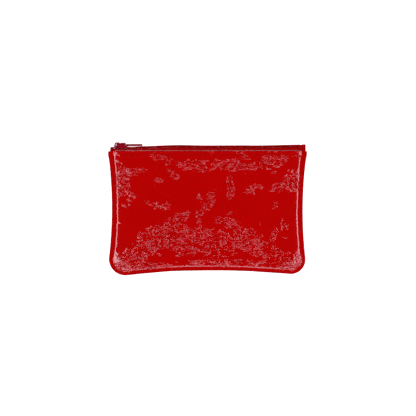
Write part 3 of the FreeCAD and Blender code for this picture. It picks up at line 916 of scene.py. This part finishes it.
def thread_material(name, first, second):
    """Sewing thread with its plies."""
    material, tree, shader = new_material(name, {
        "Roughness": 0.6,
        "Specular IOR Level": 0.08,
    })
    ply = texture(tree, "ShaderNodeTexWave", Scale=700.0, Distortion=0.8, bands_direction="DIAGONAL")
    two_tone(tree, shader, ply, first, second)
    add_bump(tree, shader, ply, 0.7, 0.0001)
    return material


def lacquer(name, first, second, coat):
    """Thick lacquer over a die casting: uneven, and glossy on top."""
    material, tree, shader = new_material(name, {
        "Roughness": 0.35,
        "Specular IOR Level": 0.0,
        "Coat Weight": coat,
        "Coat Roughness": 0.12,
    })
    tone = texture(tree, "ShaderNodeTexNoise", Scale=330.0, Detail=1.5)
    two_tone(tree, shader, tone, first, second)
    add_bump(tree, shader, tone, 1.0, 0.0007, coated=True)
    return material


def metal(name, first, second, roughness):
    """Bare or tinted sheet metal."""
    material, tree, shader = new_material(name, {
        "Metallic": 1.0,
        "Roughness": roughness,
    })
    tone = texture(tree, "ShaderNodeTexNoise", Scale=600.0, Detail=3.0)
    two_tone(tree, shader, tone, first, second)
    add_bump(tree, shader, tone, 0.3, 0.00008)
    return material


# Castings, and finishes for CAD nodes that stay

def cast(name, node, voxel, rounds, grow, material):
    """A CAD node's shape with the softened edges of a die casting. Voxel and grow are in millimetres."""
    piece = bpy.data.objects.new(name, bpy.data.objects[node].data.copy())
    bpy.context.scene.collection.objects.link(piece)
    piece.data.materials.clear()
    remesh = piece.modifiers.new("remesh", "REMESH")
    remesh.mode = "VOXEL"
    remesh.voxel_size = voxel * MM
    soften = piece.modifiers.new("soften", "SMOOTH")
    soften.factor = 0.5
    soften.iterations = rounds
    swell_out = piece.modifiers.new("grow", "DISPLACE")
    swell_out.mid_level = 0.0
    swell_out.strength = grow * MM
    thin = piece.modifiers.new("thin", "DECIMATE")
    thin.ratio = 0.4
    evaluated = piece.evaluated_get(bpy.context.evaluated_depsgraph_get())
    mesh = bpy.data.meshes.new_from_object(evaluated)
    piece.modifiers.clear()
    piece.data = mesh
    mesh.materials.clear()
    mesh.materials.append(material)
    mesh.polygons.foreach_set("use_smooth", [True] * len(mesh.polygons))
    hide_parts(node)
    return piece


def deepen_bar(piece):
    """Move the underside of the pull's flat bar towards the zip, as far as the tape's end allows."""
    mesh = piece.data
    points = vertex_values(mesh, "co")
    under = smooth(0.3, 0.7, -vertex_values(mesh, "normal")[:, 1])
    x = points[:, 0] / MM
    y = points[:, 1] / MM
    lowest = np.minimum(y, ZIP_Y + BAR_LOWEST_V + x * math.tan(TILT))
    deeper = BAR_DEEPER * under * smooth(BAR_START, BAR_START + 2.5, x)
    points[:, 1] = np.maximum(y - deeper, lowest) * MM
    mesh.vertices.foreach_set("co", points.ravel())
    mesh.update()


def give(node, material):
    """A better finish for a CAD node that stays."""
    piece = bpy.data.objects[node]
    if not piece.material_slots:
        piece.data.materials.append(material)
    for place in piece.material_slots:
        place.material = material


# Floor, light and camera, in metres and degrees

LIGHT_REACH = 1.2
LIGHT_LEAN = 32
LIGHT_COLOUR = (1.0, 0.86, 1.0)
CAMERA_HEIGHT = 1.6
CAMERA_X = 0.00051
CAMERA_Y = 0.00092
VIEW_WIDTH = 0.425
SENSOR_WIDTH = 36.0


def white_floor():
    """A pale floor that glows a little and isn't mirrored in the leather."""
    bpy.ops.mesh.primitive_plane_add(size=6, location=(0, 0, 0))
    floor = bpy.context.object
    floor.name = "floor"
    material, tree, shader = new_material("floor_white", {
        "Roughness": 0.9,
        "Emission Color": (1, 1, 1, 1),
        "Emission Strength": 0.8,
    })
    grain = texture(tree, "ShaderNodeTexNoise", Scale=3.0)
    two_tone(tree, shader, grain, (0.90, 0.90, 0.90), (0.92, 0.92, 0.92))
    floor.data.materials.append(material)
    floor.visible_glossy = False


def softbox(name, azimuth, width, height, radiance):
    """A soft light that leans from the zenith towards azimuth, and faces the pouch."""
    turn = math.radians(azimuth)
    tip = math.radians(LIGHT_LEAN)
    flat = LIGHT_REACH * math.sin(tip)
    data = bpy.data.lights.new(name, "AREA")
    data.shape = "RECTANGLE"
    data.size = width
    data.size_y = height
    data.energy = radiance * math.pi * width * height
    data.color = LIGHT_COLOUR
    lamp = bpy.data.objects.new(name, data)
    bpy.context.scene.collection.objects.link(lamp)
    lamp.location = (flat * math.cos(turn), flat * math.sin(turn), LIGHT_REACH * math.cos(tip))
    lamp.rotation_euler = (0, tip, turn)


def studio():
    """A pale surround that lights almost nothing, and a ring of soft boxes."""
    world = bpy.data.worlds.new("studio")
    bpy.context.scene.world = world
    world.use_nodes = True
    tree = world.node_tree
    tree.nodes.clear()
    out = tree.nodes.new("ShaderNodeOutputWorld")
    seen = add_node(tree, "ShaderNodeBackground", Color=(0.93, 0.93, 0.93, 1), Strength=1.0)
    light = add_node(tree, "ShaderNodeBackground", Color=(0.9, 0.92, 1.0, 1), Strength=0.02)
    rays = tree.nodes.new("ShaderNodeLightPath")
    mix = tree.nodes.new("ShaderNodeMixShader")
    tree.links.new(rays.outputs["Is Camera Ray"], mix.inputs[0])
    tree.links.new(light.outputs[0], mix.inputs[1])
    tree.links.new(seen.outputs[0], mix.inputs[2])
    tree.links.new(mix.outputs[0], out.inputs[0])
    softbox("left_light", 180, 0.25, 0.60, 9.5)
    softbox("right_light", 0, 0.25, 0.60, 9.5)
    softbox("low_left_light", 225, 0.27, 0.40, 4.0)
    softbox("low_right_light", 315, 0.27, 0.40, 6.0)
    softbox("low_light", 270, 0.27, 0.50, 5.0)
    softbox("top_light", 90, 0.27, 0.50, 4.4)
    softbox("top_left_light", 135, 0.27, 0.40, 5.0)
    softbox("top_right_light", 45, 0.27, 0.40, 5.0)


def camera():
    """A camera straight above the pouch, whose view is VIEW_WIDTH wide at the seam plane."""
    data = bpy.data.cameras.new("camera")
    data.sensor_width = SENSOR_WIDTH
    data.lens = SENSOR_WIDTH * CAMERA_HEIGHT / VIEW_WIDTH
    data.clip_end = 50
    eye = bpy.data.objects.new("camera", data)
    bpy.context.scene.collection.objects.link(eye)
    eye.location = (CAMERA_X, CAMERA_Y, MID * MM + CAMERA_HEIGHT)
    eye.rotation_euler = (0, 0, 0)
    bpy.context.scene.camera = eye


# The object

bpy.context.scene.view_settings.view_transform = "Standard"
bpy.context.scene.view_settings.look = "None"

SKIN = patent_leather()
FLESH = suede("leather_flesh_side", (0.30, 0.10, 0.08), (0.42, 0.16, 0.12))
RAW = suede("leather_raw_edge", (0.58, 0.17, 0.18), (0.72, 0.28, 0.29))

front = build_panel("front_leather", True, SKIN, FLESH, RAW)
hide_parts("front_panel")
follow_opening(front)

back = build_panel("back_leather", False, SKIN, FLESH, RAW)
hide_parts("back_panel")
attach(back, "back")

TAPE = woven_tape()
NYLON = nylon("coil_nylon", (0.32, 0.0, 0.0), (0.44, 0.0, 0.0), 0.4, 0.04)
CORD = nylon("cord_polyester", (0.16, 0.001, 0.002), (0.22, 0.003, 0.005), 0.8, 0.2)
THREAD = thread_material("zip_thread", (0.17, 0.0, 0.0), (0.27, 0.0, 0.001))
STITCH = thread_material("leather_thread", (0.30, 0.0, 0.0), (0.40, 0.0, 0.001))
LACQUER = lacquer("red_lacquer", (0.13, 0.0, 0.004), (0.28, 0.001, 0.012), 1.0)
STOP = lacquer("stop_lacquer", (0.06, 0.0, 0.008), (0.16, 0.002, 0.02), 0.7)
SPRING = metal("spring_metal", (0.26, 0.05, 0.08), (0.38, 0.09, 0.13), 0.3)

for side, sign in (("front", 1), ("back", -1)):
    pieces = {
        "tape": build_tape(side + "_woven_tape", sign, TAPE),
        "coil": build_coil(side + "_nylon_coil", sign, NYLON),
        "coil_cord": build_cord(side + "_filler_cord", sign, CORD),
        "coil_thread": build_coil_thread(side + "_chain_thread", sign, THREAD),
        "edge_stitches": build_stitches(side + "_mouth_stitches", sign > 0, STITCH),
    }
    for kind, piece in pieces.items():
        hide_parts(side + "_" + kind)
        if sign > 0:
            follow_opening(piece)
        else:
            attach(piece, "back")

give("seam_stitches", STITCH)
for node, body in (("front_top_stop", "front"), ("back_top_stop", "back"), ("bottom_stop", "back")):
    piece = cast("pressed_" + node, node, 0.12, 5, 0.05, STOP)
    if body == "front":
        follow_opening(piece)
    else:
        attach(piece, body)

# CAD node, body, rounds of smoothing and growth
CASTINGS = [
    ("slider_body", "slider", 8, 0.04),
    ("slider_crown", "slider", 4, 0.12),
    ("pull_tab", "pull", 3, 0.12),
]
for node, body, rounds, grow in CASTINGS:
    piece = cast("cast_" + node, node, 0.14, rounds, grow, LACQUER)
    if node == "pull_tab":
        deepen_bar(piece)
    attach(piece, body)
give("lock_spring", SPRING)

white_floor()
studio()
camera()
